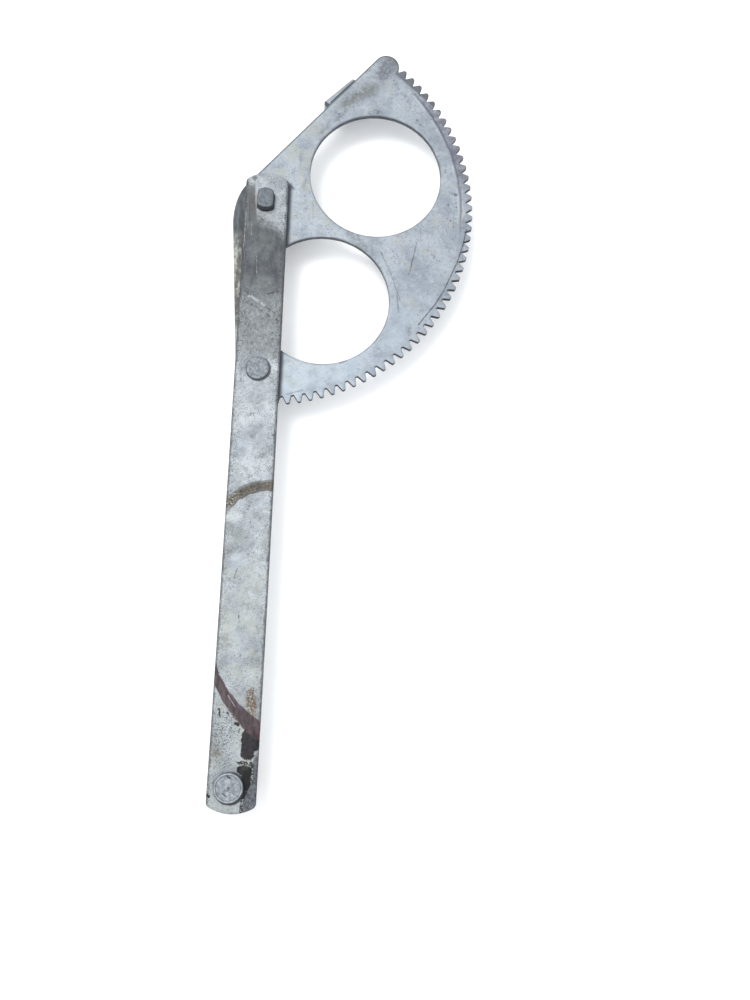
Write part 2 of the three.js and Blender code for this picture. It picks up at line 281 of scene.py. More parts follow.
def arm_outline(step):
    """Anticlockwise outline of the arm, bowed along its length."""
    top = arm_end(ARM_TOP_WIDTH / 2, ARM_TOP, ARM_TOP_CROWN)
    tail = [-point for point in arm_end(ARM_TAIL_WIDTH / 2, ARM_LENGTH + ARM_TAIL, ARM_TAIL_CROWN)]
    straight = resampled(top + tail, step)
    return [Vector((point.x + arm_centre(point.y), point.y)) for point in straight]


def ring_outline(groove, outer):
    """Anticlockwise outline of an open retaining ring with three lugs in its groove."""
    opening = 35
    lug_half = 14
    band = (groove + outer) / 2 + 0.5
    lug = groove + HOLE_GAP
    start = opening - 90
    end = 270 - opening
    inner = [(end - lug_half, lug), (end - lug_half, band), (90 + lug_half, band), (90 + lug_half, lug)]
    inner += [(90 - lug_half, lug), (90 - lug_half, band), (start + lug_half, band), (start + lug_half, lug)]
    path = [(point, 0) for point in arc(PIVOT_AT, outer, start, end, 60)]
    path[0] = (path[0][0], 0.5)
    path[-1] = (path[-1][0], 0.5)
    angle = end
    radius = lug
    for next_angle, next_radius in inner + [(start, lug)]:
        steps = max(1, int((angle - next_angle) / 9))
        run = arc(PIVOT_AT, radius, angle, next_angle, steps)
        path += [(run[0], 0.3)] + [(point, 0) for point in run[1:-1]]
        angle = next_angle
        radius = next_radius
    path.append((polar(lug, start), 0.3))
    return rounded(path, turn_step=20)


# ---------------------------------------------------------------- mesh making


def finished(name, verts, faces, sharp=35):
    """A smooth-shaded object from vertices in millimetres."""
    mesh = bpy.data.meshes.new(name)
    mesh.from_pydata([Vector(v) * MM for v in verts], [], faces)
    builder = bmesh.new()
    builder.from_mesh(mesh)
    bmesh.ops.remove_doubles(builder, verts=builder.verts, dist=1e-7)
    bmesh.ops.dissolve_degenerate(builder, edges=builder.edges, dist=1e-8)
    bmesh.ops.recalc_face_normals(builder, faces=builder.faces)
    builder.to_mesh(mesh)
    builder.free()
    mesh.shade_smooth()
    mesh.set_sharp_from_angle(angle=math.radians(sharp))
    piece = bpy.data.objects.new(name, mesh)
    bpy.context.scene.collection.objects.link(piece)
    return piece


def inset(loop, distance):
    """The closed loop moved to its left, which is into the material."""
    moved = []
    for i, point in enumerate(loop):
        before = (point - loop[i - 1]).normalized()
        after = (loop[(i + 1) % len(loop)] - point).normalized()
        tangent = (before + after).normalized()
        normal = Vector((-tangent.y, tangent.x))
        stretch = max(0.6, normal.dot(Vector((-before.y, before.x))))
        moved.append(point + normal * (distance / stretch))
    return moved


def inside(points, loops):
    """Which points lie in the material between the loops, by an even-odd test."""
    count = np.zeros(len(points), dtype=int)
    px, py = points[:, 0], points[:, 1]
    for loop in loops:
        for start, end in zip(loop, loop[1:] + loop[:1]):
            if start.y != end.y:
                crosses = (start.y > py) != (end.y > py)
                at = (end.x - start.x) * (py - start.y) / (end.y - start.y) + start.x
                count += crosses & (px < at)
    return count % 2 == 1


def fill(loops, spacing, seeds=()):
    """Points and triangles that fill the material between the loops, with an even spread of points."""
    border = [point for loop in loops for point in loop]
    fixed = border + list(seeds)
    tree = kdtree.KDTree(len(fixed))
    for i, point in enumerate(fixed):
        tree.insert((point.x, point.y, 0), i)
    tree.balance()
    row_step = spacing * math.sqrt(3) / 2
    low = Vector((min(p.x for p in loops[0]), min(p.y for p in loops[0])))
    high = Vector((max(p.x for p in loops[0]), max(p.y for p in loops[0])))
    grid = []
    for row in range(int((high.y - low.y) / row_step) + 1):
        shift = 0.5 * (row % 2)
        for column in range(int((high.x - low.x) / spacing) + 1):
            grid.append((low.x + (column + shift) * spacing, low.y + row * row_step))
    grid = np.array(grid)
    grid = grid[inside(grid, loops)]
    free = [Vector(at) for at in grid if tree.find((at[0], at[1], 0))[2] > spacing * 0.55]
    edges = []
    first = 0
    for loop in loops:
        edges += [(first + i, first + (i + 1) % len(loop)) for i in range(len(loop))]
        first += len(loop)
    points = fixed + free
    verts, _, faces, origins, _, _ = delaunay_2d_cdt(points, edges, [], 0, 1e-6)
    centres = np.array([sum((verts[i] for i in face), Vector((0, 0))) / len(face) for face in faces])
    triangles = []
    for face, kept in zip(faces, inside(centres, loops)):
        if kept:
            a, b, c = (origins[i][0] for i in face)
            area = (points[b] - points[a]).cross(points[c] - points[a])
            if abs(area) > 0.001 * spacing**2:
                triangles.append((a, b, c) if area > 0 else (a, c, b))
    return points, triangles


def plate(name, loops, back, front, spacing=1.0, rounding=(0.3, 0.2), relief=None, seeds=()):
    """A plate with rounded edges. relief(x, y, side) lifts a face: side is 1 in front, -1 behind."""
    loops = [resampled(loop, spacing) for loop in loops]
    border = sum(len(loop) for loop in loops)
    turns = [math.radians(90 * k / 3) for k in range(4)]
    rings = []
    for turn in reversed(turns):
        rings.append((rounding[0] * (1 - math.cos(turn)), front - rounding[0] * (1 - math.sin(turn)), 1))
    for turn in turns:
        rings.append((rounding[1] * (1 - math.cos(turn)), back + rounding[1] * (1 - math.sin(turn)), -1))

    def lifted(x, y, z, side):
        return (x, y, z + side * relief(x, y, side) if relief else z)

    verts = []
    for depth, z, side in rings:
        for loop in loops:
            verts += [lifted(p.x, p.y, z, side) for p in inset(loop, depth)]
    faces = []
    for ring in range(len(rings) - 1):
        upper = ring * border
        for loop in loops:
            for i in range(len(loop)):
                j = (i + 1) % len(loop)
                faces.append((upper + i, upper + border + i, upper + border + j, upper + j))
            upper += len(loop)
    for start, (depth, z, side) in ((0, rings[0]), ((len(rings) - 1) * border, rings[-1])):
        points, triangles = fill([inset(loop, depth) for loop in loops], spacing, seeds)
        offset = len(verts) - border
        verts += [lifted(p.x, p.y, z, side) for p in points[border:]]
        for triangle in triangles:
            face = [start + i if i < border else offset + i for i in triangle]
            faces.append(face if side > 0 else face[::-1])
    return finished(name, verts, faces)


def turned(name, corners, at, closed=False, segments=128):
    """A turned piece from (radius, z, rounding) corners, from axis to axis or closed on itself."""
    path = rounded([(Vector((r, z)), fillet) for r, z, fillet in corners], closed, turn_step=18)
    verts = []
    rings = []
    for point in path:
        count = segments if point.x > 1e-6 else 1
        rings.append([len(verts) + i for i in range(count)])
        for i in range(count):
            angle = 2 * math.pi * i / segments
            verts.append((at.x + point.x * math.cos(angle), at.y + point.x * math.sin(angle), point.y))
    faces = []
    pairs = list(zip(rings, rings[1:]))
    if closed:
        pairs.append((rings[-1], rings[0]))
    for lower, upper in pairs:
        for i in range(segments):
            j = (i + 1) % segments
            if len(lower) == 1:
                faces.append((lower[0], upper[i], upper[j]))
            elif len(upper) == 1:
                faces.append((lower[i], lower[j], upper[0]))
            else:
                faces.append((lower[i], lower[j], upper[j], upper[i]))
    return finished(name, verts, faces, 32)


def ripple(x, y, size, seed):
    return noise.noise(Vector((x / size, y / size, seed)))


def smooth(low, high, value):
    t = min(1, max(0, (value - low) / (high - low)))
    return t * t * (3 - 2 * t)


# ---------------------------------------------------------------- paint

LIGHT_LEVEL = 0.54


def srgb(red, green, blue):
    """A colour from 0 to 255, as it looks on a screen under the studio light, as the shader wants it."""
    linear = []
    for value in (red, green, blue):
        value /= 255
        value = value / 12.92 if value <= 0.04045 else ((value + 0.055) / 1.055) ** 2.4
        linear.append(value * LIGHT_LEVEL)
    return (*linear, 1)


class Value:
    """A number that varies over the surface. Arithmetic with it adds nodes to its material."""

    def __init__(self, paint, socket):
        self.paint = paint
        self.socket = socket

    def __add__(self, other):
        return self.paint.math("ADD", self, other)

    def __sub__(self, other):
        return self.paint.math("SUBTRACT", self, other)

    def __rsub__(self, other):
        return self.paint.math("SUBTRACT", other, self)

    def __mul__(self, other):
        return self.paint.math("MULTIPLY", self, other)

    def __pow__(self, other):
        return self.paint.math("POWER", self, other)

    def __abs__(self):
        return self.paint.math("ABSOLUTE", self)

    def max(self, other):
        return self.paint.math("MAXIMUM", self, other)

    def min(self, other):
        return self.paint.math("MINIMUM", self, other)

    def ramp(self, low, high, to_low=0.0, to_high=1.0):
        """A smooth step, from to_low where the number is low to to_high where it is high."""
        ends = {"Value": self, "From Min": low, "From Max": high, "To Min": to_low, "To Max": to_high}
        return self.paint.value("MapRange", ends, interpolation_type="SMOOTHSTEP")


class Paint:
    """A material's node tree, with its coordinates in millimetres in the row frame."""

    def __init__(self, name, metallic):
        self.material = bpy.data.materials.new(name)
        self.material.use_nodes = True
        self.tree = self.material.node_tree
        self.shader = self.tree.nodes["Principled BSDF"]
        self.shader.inputs["Metallic"].default_value = metallic
        coords = self.node("TexCoord", {}).outputs["Object"]
        self.place = self.node("VectorMath", {0: coords, 1: (1 / MM,) * 3}, operation="MULTIPLY").outputs[0]
        self.flat = self.node("VectorMath", {0: self.place, 1: (1, 1, 0)}, operation="MULTIPLY").outputs[0]
        axes = self.node("SeparateXYZ", {0: self.place}).outputs
        self.x, self.y, self.z = (Value(self, axis) for axis in axes)
        normal = self.node("NewGeometry", {}).outputs["Normal"]
        self.up = self.value("SeparateXYZ", {0: normal}, 2)

    def node(self, kind, inputs, **settings):
        made = self.tree.nodes.new("ShaderNode" + kind)
        for key, value in settings.items():
            setattr(made, key, value)
        for key, value in inputs.items():
            if isinstance(value, Value):
                value = value.socket
            if isinstance(value, bpy.types.NodeSocket):
                self.tree.links.new(value, made.inputs[key])
            else:
                made.inputs[key].default_value = value
        return made

    def value(self, kind, inputs, output=0, **settings):
        return Value(self, self.node(kind, inputs, **settings).outputs[output])

    def math(self, operation, *values):
        return self.value("Math", dict(enumerate(values)), operation=operation)

    def noise(self, size, seed=0.0, detail=4, stretch=(1, 1, 1), turn=0.0, rough=0.55):
        """Cloudy noise from 0 to 1 with features about size mm across, drawn out along one way."""
        moved = self.node("Mapping", {
            "Vector": self.place, "Location": (seed, seed * 1.7, seed * 0.3),
            "Rotation": (0, 0, math.radians(turn)), "Scale": stretch,
        })
        return self.value("TexNoise", {"Vector": moved.outputs[0], "Scale": 1 / size, "Detail": detail,
                                       "Roughness": rough})

    def rear(self):
        """1 on faces that look to the rear, which the marks of the front face stay off."""
        return self.up.ramp(0.1, -0.4)

    def wobble(self, size, amount, seed=0.0):
        """Noise about zero, to be added to a distance so that an edge wanders."""
        return (self.noise(size, seed, 3) - 0.5) * (2 * amount)

    def from_point(self, x, y):
        return self.value("VectorMath", {0: self.flat, 1: (x, y, 0)}, "Value", operation="DISTANCE")

    def from_line(self, start, end):
        """Distance from the stretch between two points."""
        a = Vector((*start, 0))
        way = Vector((*end, 0)) - a
        offset = self.node("VectorMath", {0: self.flat, 1: a}, operation="SUBTRACT").outputs[0]
        unit = way.normalized()
        run = self.value("VectorMath", {0: offset, 1: unit}, "Value", operation="DOT_PRODUCT")
        run = self.value("Clamp", {"Value": run, "Min": 0.0, "Max": way.length})
        foot = self.node("VectorMath", {0: unit, "Scale": run}, operation="SCALE").outputs[0]
        return self.value("VectorMath", {0: offset, 1: foot}, "Value", operation="DISTANCE")

    def within(self, far, reach, soft, wobble, size, seed):
        """1 where far is below reach, fading to 0 over soft mm, the edge wandering by wobble mm."""
        if wobble:
            far = far + self.wobble(size, wobble, seed)
        return far.ramp(reach + soft / 2, reach - soft / 2)

    def spot(self, x, y, radius, soft, wobble=0.0, size=2.0, seed=0.0):
        """A mask that is 1 inside a round patch."""
        return self.within(self.from_point(x, y), radius, soft, wobble, size, seed)

    def streak(self, start, end, half, soft, wobble=0.0, size=2.0, seed=0.0):
        """A mask that is 1 beside a line, half mm to either side."""
        return self.within(self.from_line(start, end), half, soft, wobble, size, seed)

    def mix(self, mask, a, b, strength=1.0):
        """Colour a where the mask is 0 and b where it is 1."""
        if strength != 1.0:
            mask = mask * strength
        return self.node("Mix", {0: mask, 6: a, 7: b}, data_type="RGBA").outputs[2]

    def lay(self, mask, tone, strength=1.0):
        """Lays a tone over the material's colour where the mask is 1."""
        self.colour = self.mix(mask, self.colour, tone, strength)

    def coat(self, roughness, height=None, depth=0.05, metal=None):
        """Connects the colour and roughness, a bump depth mm deep, and where the metal is bare."""
        links, inputs = self.tree.links, self.shader.inputs
        links.new(self.colour, inputs["Base Color"])
        links.new(roughness.socket, inputs["Roughness"])
        if metal:
            links.new(metal.socket, inputs["Metallic"])
        if height:
            bump = self.node("Bump", {"Height": height, "Distance": depth * MM, "Strength": 1.0})
            links.new(bump.outputs[0], inputs["Normal"])
        return self.material


def union(masks):
    """A mask that is 1 wherever one of the masks is."""
    return reduce(Value.max, masks)


def zinc_base(paint, light, mid, dark, speckled):
    """Mottled zinc plate: clouds, blotches, wandering veins, fine dark specks, glints and pits."""
    clouds = paint.noise(11, 3.0, 5, rough=0.6).ramp(0.38, 0.64)
    paint.colour = paint.mix(clouds, light, mid)
    patches = paint.noise(4.2, 11.0, 4, rough=0.65).ramp(0.5, 0.66)
    paint.lay(patches, dark, 0.2)
    glints = paint.noise(2.2, 95.0, 5, rough=0.7).ramp(0.54, 0.68)
    paint.lay(glints, srgb(222, 229, 235), 0.4)
    blotches = paint.noise(1.5, 91.0, 5, rough=0.7).ramp(0.52, 0.68)
    paint.lay(blotches, dark, 0.38)
    wander = abs(paint.noise(8, 83.0, 3, rough=0.5) - 0.5)
    veins = wander.ramp(0.012, 0.002) * paint.noise(5, 87.0, 2).ramp(0.45, 0.6)
    paint.lay(veins, dark, 0.55)
    specks = paint.noise(0.45, 17.0, 3, rough=0.6).ramp(0.52, 0.66)
    thick = paint.noise(8, 35.0, 3).ramp(0.35, 0.65, 0.25, 1)
    paint.lay(specks * thick, dark, speckled)
    pits = paint.noise(0.8, 19.0, 2).ramp(0.66, 0.72)
    paint.lay(pits, srgb(78, 82, 90), 0.7)


def scratches(paint):
    """Fine straight scratches in two directions."""
    marks = paint.noise(1.1, 2.0, 2, (1, 0.05, 1), 20).ramp(0.69, 0.73)
    crossing = paint.noise(1.0, 31.0, 2, (1, 0.06, 1), -55).ramp(0.7, 0.74)
    return marks.max(crossing)


def sector_paint():
    paint = Paint("sector_zinc", 0.55)
    light, mid, dark = srgb(194, 203, 212), srgb(170, 180, 191), srgb(112, 120, 132)
    zinc_base(paint, light, mid, dark, 0.55)
    warm = (paint.noise(8, 23.0, 4) + paint.x.ramp(45, 5, 0, 0.12)).ramp(0.56, 0.7)
    paint.lay(warm, srgb(188, 191, 182), 0.5)
    # Painted light: lighter and bluer towards the bottom, where the light falls brighter
    low = paint.y.ramp(-20, -70) * paint.noise(9, 25.0, 3).ramp(0.3, 0.6)
    paint.lay(low, srgb(196, 211, 225), 0.5)
    marks = scratches(paint)
    paint.lay(marks, dark, 0.35)
    plain = paint.colour

    # The band beside the teeth is worn darker, most of all in the upper half, behind a soft step
    radius = paint.from_point(0, 0) + paint.wobble(9, 0.35, 6.0)
    band = radius.ramp(WORN_BAND_RADIUS - 0.35, WORN_BAND_RADIUS + 0.35)
    upper = paint.y.ramp(6, 24) * paint.y.ramp(66, 52)
    streaked = paint.noise(2.2, 39.0, 5, rough=0.65).ramp(0.36, 0.64, 0.35, 1)
    worn = band * (upper * 0.72 + 0.16) * streaked
    paint.lay(worn, srgb(118, 116, 130))
    tips = radius.ramp(91.2, 93.2) * paint.y.ramp(-4, 20)
    paint.lay(tips, srgb(160, 148, 142), 0.45)
    step = paint.y.ramp(-12, 0) * paint.y.ramp(66, 54)
    score = (
        abs(radius - WORN_BAND_RADIUS - 0.3).ramp(0.8, 0.2) * paint.noise(6, 41.0, 2).ramp(0.3, 0.5)
        * step
    )
    paint.lay(score, srgb(102, 104, 118), 0.6)
    # A painted highlight along the inner side of the worn band's step
    step_highlight = (
        abs(radius - WORN_BAND_RADIUS + 1.0).ramp(0.7, 0.1) * paint.noise(7, 47.0, 2).ramp(0.4, 0.6)
        * step
    )
    paint.lay(step_highlight, srgb(210, 218, 226), 0.45)
    pale = (
        abs(radius - 89.4).ramp(1.3, 0.4) * paint.noise(1.8, 49.0, 3, (1, 0.35, 1)).ramp(0.5, 0.6)
        * abs(paint.y - 4.0).ramp(14, 9)
    )
    paint.lay(pale, srgb(214, 214, 216), 0.6)
    lower_score = ((91.0, -6.4), (89.6, -14.2), (87.4, -21.8), (84.5, -29.1), (81.5, -36.3), (77.8, -43.1),
                   (74.1, -48.1), (70.6, -53.2))
    for start, end in zip(lower_score, lower_score[1:]):
        line = paint.streak(start, end, 0.26, 0.35, 0.3, 1.6, 4.0)
        paint.lay(line, srgb(62, 70, 82), 0.8)

    # Single marks: an oily smudge by the tab, a dark corner, nicks and long streaks
    film = (
        paint.streak((30.5, 48.5), (52, 69.5), 3.2, 6, 3.5, 5, 12.0)
        * paint.noise(3.0, 14.0, 5, rough=0.65).ramp(0.34, 0.6)
    )
    paint.lay(film, srgb(134, 140, 146), 0.6)
    oil = (
        paint.streak((34.5, 53.5), (45.4, 61.0), 2.4, 4.4, 3.2, 2.6, 5.0)
        * paint.noise(1.4, 59.0, 4).ramp(0.3, 0.54)
    )
    paint.lay(oil, srgb(112, 113, 106), 0.6)
    for start, end, half, tone in (
        ((50.5, 69.5), (54, 75), 3.4, 116), ((47.5, 49.5), (50, 48.6), 1.0, 96),
        ((45, 47.8), (56, 45), 0.5, 120), ((66.4, -55), (66.2, -57), 1.0, 126),
        ((30, 44), (34, 49.5), 0.7, 128), ((22.5, 36.5), (26, 40.5), 0.8, 130),
        ((39, -11.5), (44.5, -19), 2.4, 140), ((76, 20), (78, 26), 0.8, 130),
        ((16.5, 9), (17.5, 14), 0.7, 138), ((60, 60), (63.5, 55), 0.6, 128),
    ):
        patch = (
            paint.streak(start, end, half, 2.4, 1.4, 1.8, start[0])
            * paint.noise(1.2, start[1], 4).ramp(0.32, 0.55)
        )
        paint.lay(patch, srgb(tone, tone + 5, tone + 13), 0.75)
    for x, y, size in (
        (85.7, 10.4, 0.75), (82.5, 5.2, 0.6), (83.7, -2.5, 0.4), (86, 4.2, 0.4), (66.9, 46.4, 0.5),
        (68.4, 44.2, 0.4), (71.5, 36, 0.3), (30.5, 47, 0.3), (55.5, 66, 0.35), (38, 57.5, 0.4),
    ):
        nick = paint.spot(x, y, size, 0.5, 0.9, 1.0, x)
        paint.lay(nick, srgb(84, 92, 106), 0.75)
    for start, end, half in (
        ((52.6, -19.9), (57.5, -30), 0.22), ((57.5, -30), (62, -42.2), 0.18),
        ((68.5, -14.5), (66, -28.1), 0.28), ((60.5, -40), (61.5, -48), 0.2),
        ((36.5, -72.9), (39.2, -71.8), 0.3), ((46.4, -67), (48.8, -64.9), 0.3),
        ((14.0, -88.5), (20.9, -86.2), 0.2),
    ):
        line = paint.streak(start, end, half, 0.7, 0.5, 1.4, start[0])
        paint.lay(line, srgb(96, 102, 110), 0.65)
    outer = paint.from_line(on_edge(-2, EDGE_OFFSET), on_edge(LOBE_ALONG, EDGE_OFFSET))
    lobe = on_edge(LOBE_ALONG, EDGE_OFFSET - LOBE_RADIUS)
    round_lobe = LOBE_RADIUS - paint.from_point(lobe.x, lobe.y)
    beyond = (paint.x * 0.643 + paint.y * 0.766).ramp(LOBE_ALONG - 0.5, LOBE_ALONG + 0.5)
    rimmed = outer.ramp(1.1, 0.4).max(beyond * round_lobe.ramp(1.0, 0.4))
    paint.lay(rimmed, srgb(96, 101, 108), 0.75)
    for centre in HOLE_CENTRES:
        far = paint.from_point(centre.x, centre.y) + paint.wobble(4, 0.25, 8.0) - HOLE_RADIUS
        lip = far.ramp(0.9, 0.25) * paint.noise(7, 13.0, 3).ramp(0.35, 0.6, 0.25, 1)
        paint.lay(lip, srgb(104, 110, 118), 0.6)
    # Painted shade in the crease where the tab bends back
    crease_shade = paint.streak((26.7, 52.7), (37.0, 64.2), 0.3, 0.5)
    paint.lay(crease_shade, srgb(58, 60, 62), 0.8)

    # The heel beside the arm is dark, with a rough crust along it
    heel = (paint.x + paint.wobble(6, 0.6, 3.0)).ramp(-7.6, -9) * paint.y.ramp(-76, -66)
    upper_heel = (paint.y + paint.wobble(6, 4, 6.0)).ramp(-32, -20)
    shade = paint.mix(paint.noise(2.2, 27.0, 4, (1, 0.25, 1)).ramp(0.35, 0.65), srgb(74, 80, 85),
                      srgb(112, 117, 121))
    paint.lay(heel, srgb(160, 161, 155), 0.8)
    paint.lay(heel * upper_heel, shade)
    crust = heel * paint.y.ramp(-12, -20) * paint.y.ramp(-66, -56)
    rough = paint.noise(1.1, 77.0, 4, (1, 0.6, 1))
    crumbs = paint.mix(rough.ramp(0.4, 0.6), srgb(122, 124, 120), srgb(184, 186, 181))
    paint.lay(crust, crumbs, 0.7)
    beside = paint.x - paint.y * 0.022 + paint.wobble(3, 0.9, 2.0)
    seam = crust * beside.ramp(-11.2, -10.5) * paint.noise(2.4, 79.0, 4).ramp(0.36, 0.5)
    paint.lay(seam, srgb(76, 75, 71), 0.75)

    # Painted shadow beside the arm's right edge, and painted shade along its top, where the arm meets the
    # plate
    side = paint.x + paint.y * 0.0068
    # Painted shadow: a dark band on the plate along the arm's right edge
    arm_edge_shadow = side.ramp(12.2, 10.2) * paint.y.ramp(11.5, 9) * paint.x.ramp(0, 2)
    paint.lay(arm_edge_shadow, srgb(62, 70, 82), 0.8)
    # Painted shade: a dark line round the arm's crowned top, where it meets the plate
    over = paint.from_point(0.3, -0.3).ramp(15.2, 14.5) * paint.y.ramp(7, 9)
    paint.lay(over, srgb(72, 78, 88), 0.7)

    paint.lay(paint.rear(), plain)
    shade_walls(paint)
    # Painted shade on the upright faces of the teeth, near black
    upright = abs(paint.up).ramp(0.9, 0.5)
    tooth_shade = paint.from_point(0, 0).ramp(89.4, 90) * upright
    paint.lay(tooth_shade, srgb(34, 35, 42), 0.92)
    uneven = paint.noise(1.6, 51.0, 5, rough=0.6)
    height = uneven * 0.8 - marks * 0.15 + crust * rough * 2.0
    roughness = paint.noise(6, 61.0, 3).ramp(0.3, 0.7, 0.42, 0.58)
    return paint.coat(roughness, height, 0.06)


def shade_walls(paint):
    """The cut edges of a plate: painted shade makes them darker than its faces, with a fine break-up.

    The tab below the plate stands upright too, but its faces are plated like the plate's own.
    """
    wall = paint.up.ramp(0.75, 0.35) * paint.z.ramp(SECTOR_BACK - 3, SECTOR_BACK - 1.5)
    under = paint.up.ramp(-0.2, -0.6)
    # Painted shade: dark tones on the cut edges, for the shadow they sit in
    light_and_shade = paint.mix(paint.noise(1.3, 71.0, 3).ramp(0.35, 0.65), srgb(54, 58, 66), srgb(92, 97, 104))
    cut = wall * (1.0 - under)
    paint.lay(cut, light_and_shade, 0.9)


def arm_paint():
    paint = Paint("arm_zinc", 0.5)
    paint.shader.inputs["Specular IOR Level"].default_value = 0.2
    light, mid, dark = srgb(202, 209, 214), srgb(174, 182, 188), srgb(104, 109, 114)
    zinc_base(paint, light, mid, dark, 0.95)
    warm = paint.noise(6, 29.0, 4).ramp(0.45, 0.62) * paint.y.ramp(-120, -180)
    paint.lay(warm, srgb(196, 200, 190), 0.45)
    plain = paint.colour
    speckle = paint.noise(0.8, 33.0, 3, rough=0.6).ramp(0.52, 0.66)
    for x, y, size, tone in (
        (6, -143, 3.0, 128), (-4, -150, 3.5, 132), (-7, -159, 2.5, 120), (2, -181, 2.5, 140),
        (-6, -197, 3, 146), (-8, -104, 2.5, 136), (2, -92, 3.5, 142), (5, -117, 3, 146), (-3, -124, 3, 142),
        (7, -204, 2.5, 140), (-6.5, -240, 2.5, 126),
    ):
        cloud = paint.spot(x, y, size, 5, 3.2, 4, y) * paint.noise(1.4, x, 5, rough=0.7).ramp(0.36, 0.6)
        paint.lay(cloud, srgb(tone - 10, tone - 8, tone - 6), 0.5)
    for x, y, size in ((-3, -164, 3.5), (6, -139, 2), (-3, -112, 2.5)):
        paint.lay(paint.spot(x, y, size, 4, 2, 4, y), srgb(206, 216, 228), 0.4)

    # The top is light round the tenon; below that the arm is dark, then grey as far as the rivet
    y = paint.y + paint.wobble(6, 3.5, 4.0) + paint.wobble(1.2, 2.4, 5.0)
    slant = paint.x * -0.61 - 9.4
    left = (paint.x * -8 - 36).min(6.0)
    bound = slant.max(left)
    below = bound - y
    darkened = below.ramp(-3.5, 5) * y.ramp(-54, -33)
    greyed = below.ramp(-4, 4) * y.ramp(-79, -66)
    tufts = paint.noise(1.3, 67.0, 5, (1, 0.7, 1), 30, 0.7).ramp(0.36, 0.64)
    paint.lay(greyed, paint.mix(tufts, srgb(118, 122, 124), srgb(156, 161, 164)), 0.85)
    smoky = paint.mix(paint.noise(5, 37.0, 5, (1, 0.5, 1)).ramp(0.35, 0.65), srgb(76, 80, 86),
                      srgb(114, 118, 121))
    brownish = paint.spot(-4.5, -2, 4, 6, 2, 3, 7.0)
    smoky = paint.mix(brownish, smoky, srgb(102, 98, 97), 0.7)
    paint.lay(darkened, smoky, 0.88)
    dots = speckle * y.ramp(-82, -74) * paint.y.ramp(2, -10)
    paint.lay(dots, srgb(84, 88, 91), 0.45)
    # A painted highlight on the hammered dent
    facet_highlight = paint.spot(-7.0, 8.6, 1.7, 0.8, 0.5, 2, 3.0)
    paint.lay(facet_highlight, srgb(188, 194, 198), 0.75)
    chip = paint.streak((-3.2, 11.2), (-2.4, 9.4), 0.9, 1.0, 0.5, 1.5, 8.0)
    paint.lay(chip, srgb(204, 208, 208), 0.6)
    bruise = paint.spot(-5.7, 10.7, 1.1, 1.2, 0.8, 1.5, 5.0)
    paint.lay(bruise, srgb(98, 92, 104), 0.75)
    crumbs = (
        paint.streak((-4.3, 3.8), (-4.2, -2.5), 0.7, 1.0, 0.8, 1.2, 2.0)
        * paint.noise(0.8, 73.0, 3).ramp(0.4, 0.56)
    )
    paint.lay(crumbs, srgb(186, 182, 172), 0.6)

    # Darker bands along both long edges, and painted shadows round the rivet and stud heads
    bow = (paint.y * (1 / ARM_BOW_LENGTH) + 1.0) ** 2.0
    centre = bow * -ARM_BOW + (ARM_START_X + ARM_BOW)
    widening = (ARM_TAIL_WIDTH - ARM_TOP_WIDTH) / ARM_LENGTH / 2
    half = paint.y * -widening + ARM_TOP_WIDTH / 2
    side = paint.x - centre
    inward = half - abs(side)
    edge_band = (
        (inward + paint.wobble(3, 0.9, 7.0)).ramp(1.3, 0.4) * paint.noise(5, 69.0, 3).ramp(0.3, 0.5, 0.4, 1)
    )
    paint.lay(edge_band, srgb(90, 94, 100), 0.75)
    # Painted shadows round the rivet and stud heads, shifted to their lower right, away from the light
    for centre, size, tone in ((RIVET_AT, 5.0, 72), (STUD_AT, 6.0, 58)):
        far = paint.from_point(centre.x, centre.y) + paint.wobble(2, 0.35, size)
        shadow_shift = (paint.x - centre.x) * 0.08 - (paint.y - centre.y) * 0.06
        ring = (far - shadow_shift).ramp(size + 0.75, size + 0.2)
        paint.lay(ring, srgb(tone, tone + 4, tone + 10), 0.85)
    speckled = inward.ramp(5, 0.8) * speckle
    paint.lay(speckled, srgb(74, 78, 82), 0.65)
    streaks = (
        paint.noise(0.5, 75.0, 2, (1, 0.03, 1)).ramp(0.56, 0.64) * paint.x.ramp(-6, -9) * paint.y.ramp(5, 0)
        * paint.y.ramp(-60, -20)
    )
    paint.lay(streaks, srgb(176, 180, 182), 0.5)

    # An olive band, curved, with dark borders and pale flecks in its lower end
    radius = paint.from_point(10.5, -153.6) + paint.wobble(2.2, 0.7, 9.0)
    off = radius - 23.8
    on_band = abs(off).ramp(2.1, 1.3) * paint.y.ramp(-141.5, -138.5)
    olive = paint.mix(paint.noise(0.9, 43.0, 4, rough=0.65).ramp(0.38, 0.62), srgb(58, 52, 44),
                      srgb(116, 107, 90))
    paint.lay(on_band, olive, 0.9)
    flecks = on_band * paint.x.ramp(-2.5, -5) * paint.noise(0.7, 45.0, 2).ramp(0.54, 0.62)
    paint.lay(flecks, srgb(206, 202, 192), 0.8)
    for shift, strength in ((2.0, 0.8), (-2.0, 0.55)):
        border = abs(off + shift).ramp(0.55, 0.15) * paint.y.ramp(-143, -139)
        paint.lay(border, srgb(74, 70, 70), strength)

